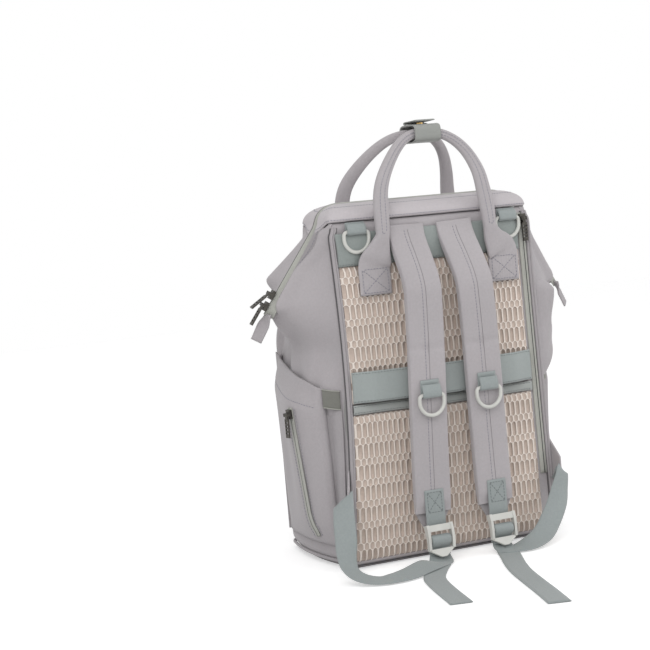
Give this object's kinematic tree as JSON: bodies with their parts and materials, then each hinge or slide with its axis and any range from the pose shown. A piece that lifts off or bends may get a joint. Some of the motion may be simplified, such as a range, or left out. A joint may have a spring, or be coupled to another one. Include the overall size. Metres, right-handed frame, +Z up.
{
  "type": "diaper bag",
  "caption": "Grey doctor-style diaper backpack with a framed zip mouth, carrying handles, air-mesh back, trolley band, padded straps with ladder locks and side pockets.",
  "frame": {"origin": "middle of the base panel, on the floor the bag stands on", "axes": "+Z up; -Y is the strap side with the air mesh, +Y the pocket front; +X to the right when facing the strap side"},
  "size_m": [0.4302, 0.5105, 0.5118],
  "materials": {
    "grey_canvas": "fine plain weave, matt",
    "ribbon": "satin rib, slight sheen",
    "air_mesh": "open knitted spacer mesh",
    "zip_tape": "woven tape with nylon coil",
    "elastic": "ribbed elastic",
    "lining_cloth": "thin woven lining",
    "pale_plastic": "moulded, satin",
    "dark_metal": "gunmetal, satin",
    "spring_steel": "drawn wire",
    "board": "sheet",
    "brass": "polished"
  },
  "bodies": {
    "bag": {"back_panel": "grey_canvas", "front_panel": "grey_canvas", "left_side_panel": "grey_canvas", "right_side_panel": "grey_canvas", "base_panel": "grey_canvas", "base_board": "board", "lining": "lining_cloth", "rim_back": "grey_canvas", "rim_front": "grey_canvas", "frame_wire_back": "spring_steel", "frame_wire_front": "spring_steel", "main_zip": "zip_tape", "zip_end_tabs": "grey_canvas", "main_slider_low": "dark_metal", "mesh_upper": "air_mesh", "mesh_lower": "air_mesh", "top_band": "ribbon", "luggage_band": "ribbon", "mesh_binding": "ribbon", "back_zip": "zip_tape", "back_pipings": "grey_canvas", "front_pipings": "grey_canvas", "base_piping": "grey_canvas", "left_pocket": "grey_canvas", "right_pocket": "grey_canvas", "left_elastics": "elastic", "right_elastics": "elastic", "pocket_zip": "zip_tape", "front_pocket": "grey_canvas", "front_zip": "zip_tape", "handle_back": "grey_canvas", "handle_front": "grey_canvas", "handle_wrap": "ribbon", "snap_stud": "brass", "top_ring_tabs": "ribbon", "left_webbing": "ribbon", "right_webbing": "ribbon", "corner_tabs": "grey_canvas"},
    "left_strap": {"left_strap": "grey_canvas", "left_strap_tab": "ribbon", "left_lock_tab": "ribbon"},
    "right_strap": {"right_strap": "grey_canvas", "right_strap_tab": "ribbon", "right_lock_tab": "ribbon"},
    "left_lock": {"left_lock": "pale_plastic"},
    "right_lock": {"right_lock": "pale_plastic"},
    "left_strap_ring": {"left_strap_ring": "pale_plastic"},
    "right_strap_ring": {"right_strap_ring": "pale_plastic"},
    "left_top_ring": {"left_top_ring": "pale_plastic"},
    "right_top_ring": {"right_top_ring": "pale_plastic"},
    "main_slider": {"main_slider_high": "dark_metal"},
    "main_pull": {"main_pull_high": "dark_metal"},
    "end_pull": {"main_pull_low": "dark_metal"},
    "back_slider": {"back_slider": "dark_metal"},
    "back_pull": {"back_pull": "dark_metal"},
    "pocket_slider": {"pocket_slider": "dark_metal"},
    "pocket_pull": {"pocket_pull": "dark_metal"},
    "front_slider": {"front_slider": "dark_metal"},
    "front_pull": {"front_pull": "dark_metal"},
    "wrap_flap": {"wrap_flap": "ribbon"}
  },
  "joints": [
    {"name": "left_strap_swing", "type": "hinge", "parent": "bag", "child": "left_strap", "pos_m": [-0.03604, -0.0972, 0.391], "axis": [-1, 0, 0], "range_deg": [0, 20], "deforming": ["left_webbing"]},
    {"name": "right_strap_swing", "type": "hinge", "parent": "bag", "child": "right_strap", "pos_m": [0.0272, -0.0972, 0.391], "axis": [-1, 0, 0], "range_deg": [0, 20], "deforming": ["right_webbing"]},
    {"name": "left_lock_tilt", "type": "hinge", "parent": "left_strap", "child": "left_lock", "pos_m": [-0.04298, -0.13018, 0.041], "axis": [-1, 0, 0], "range_deg": [-6, 14], "deforming": ["left_webbing"]},
    {"name": "right_lock_tilt", "type": "hinge", "parent": "right_strap", "child": "right_lock", "pos_m": [0.03998, -0.13018, 0.041], "axis": [-1, 0, 0], "range_deg": [-6, 14], "deforming": ["right_webbing"]},
    {"name": "left_strap_ring_swing", "type": "hinge", "parent": "left_strap", "child": "left_strap_ring", "pos_m": [-0.0401, -0.13604, 0.19546], "axis": [-1, 0, 0], "range_deg": [0, 120]},
    {"name": "right_strap_ring_swing", "type": "hinge", "parent": "right_strap", "child": "right_strap_ring", "pos_m": [0.03469, -0.13604, 0.19546], "axis": [-1, 0, 0], "range_deg": [0, 120]},
    {"name": "left_top_ring_swing", "type": "hinge", "parent": "bag", "child": "left_top_ring", "pos_m": [-0.0995, -0.09808, 0.388], "axis": [-1, 0, 0], "range_deg": [0, 120]},
    {"name": "right_top_ring_swing", "type": "hinge", "parent": "bag", "child": "right_top_ring", "pos_m": [0.0995, -0.09808, 0.388], "axis": [-1, 0, 0], "range_deg": [0, 120]},
    {"name": "main_zip_slide", "type": "slide", "parent": "bag", "child": "main_slider", "axis": [0.5498, -0.1584, 0.8201], "range_m": [0, 0.08]},
    {"name": "main_pull_lift", "type": "hinge", "parent": "main_slider", "child": "main_pull", "pos_m": [-0.19007, -0.04215, 0.32593], "axis": [0.0601, 0.9868, 0.1503], "range_deg": [0, 90]},
    {"name": "end_pull_lift", "type": "hinge", "parent": "bag", "child": "end_pull", "pos_m": [-0.19831, -0.03977, 0.31362], "axis": [0.0601, 0.9868, 0.1503], "range_deg": [0, 32]},
    {"name": "back_zip_slide", "type": "slide", "parent": "bag", "child": "back_slider", "axis": [0.0175, 0, -0.9998], "range_m": [0, 0.3]},
    {"name": "back_pull_lift", "type": "hinge", "parent": "back_slider", "child": "back_pull", "pos_m": [0.12176, -0.0998, 0.385], "axis": [-0.9998, 0, -0.0175], "range_deg": [0, 110]},
    {"name": "pocket_zip_slide", "type": "slide", "parent": "bag", "child": "pocket_slider", "axis": [0.0981, 0, -0.9952], "range_m": [0, 0.115]},
    {"name": "pocket_pull_lift", "type": "hinge", "parent": "pocket_slider", "child": "pocket_pull", "pos_m": [-0.1796, -0.03589, 0.18228], "axis": [-0.1493, 0.9887, -0.0147], "range_deg": [-4, 110]},
    {"name": "front_zip_slide", "type": "slide", "parent": "bag", "child": "front_slider", "axis": [0, 0, 1], "range_m": [0, 0.06]},
    {"name": "front_pull_lift", "type": "hinge", "parent": "front_slider", "child": "front_pull", "pos_m": [0.09, 0.1186, 0.099], "axis": [1, 0, 0], "range_deg": [0, 110]},
    {"name": "wrap_flap_lift", "type": "hinge", "parent": "bag", "child": "wrap_flap", "pos_m": [0.015, -0.0444, 0.50995], "axis": [-1, 0, 0], "range_deg": [0, 150]}
  ]
}
